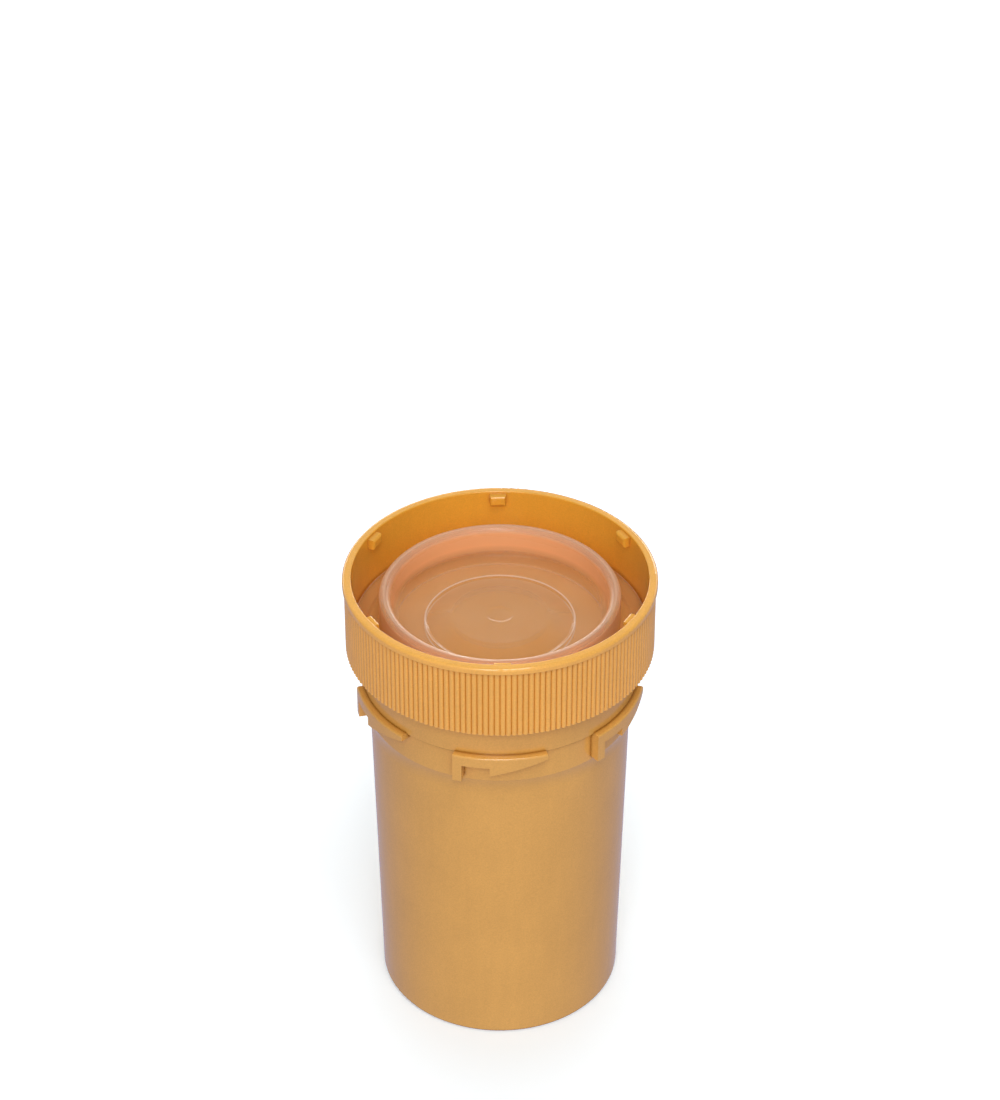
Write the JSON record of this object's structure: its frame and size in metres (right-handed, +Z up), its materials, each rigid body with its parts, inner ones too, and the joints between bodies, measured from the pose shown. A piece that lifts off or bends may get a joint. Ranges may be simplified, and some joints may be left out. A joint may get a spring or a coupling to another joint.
{
  "type": "prescription vial",
  "caption": "Round amber plastic pill vial with bayonet hooks round its neck, closed by a ribbed reversible screw cap sitting upside down, with a translucent sealing insert in the cap.",
  "frame": {"origin": "centre of the base, on the surface that the vial stands on", "axes": "+Z up along the vial's axis towards the cap, -Y towards the front, where one bayonet hook is centred"},
  "size_m": [0.0426, 0.0426, 0.0677],
  "materials": {
    "vial_plastic": "satin-gloss amber polypropylene, fine moulded grain",
    "cap_plastic": "satin-gloss amber polypropylene, a little more orange than the vial",
    "liner_plastic": "translucent frosted soft polyethylene, taking the amber of the cap under it"
  },
  "bodies": {
    "vial": {"vial": "vial_plastic"},
    "liner": {"cap_liner": "liner_plastic"},
    "cap": {"cap": "cap_plastic"}
  },
  "joints": [
    {"name": "cap_rise", "type": "slide", "parent": "vial", "child": "liner", "axis": [0, 0, 1], "range_m": [0, 0.0064]},
    {"name": "cap_turn", "type": "hinge", "parent": "liner", "child": "cap", "pos_m": [0, 0, 0.0571], "axis": [0, 0, 1], "range_deg": [0, 720]}
  ],
  "couplings": [
    {"joint": "cap_rise", "follows": "cap_turn", "m_per_rad": 0.00050929}
  ]
}
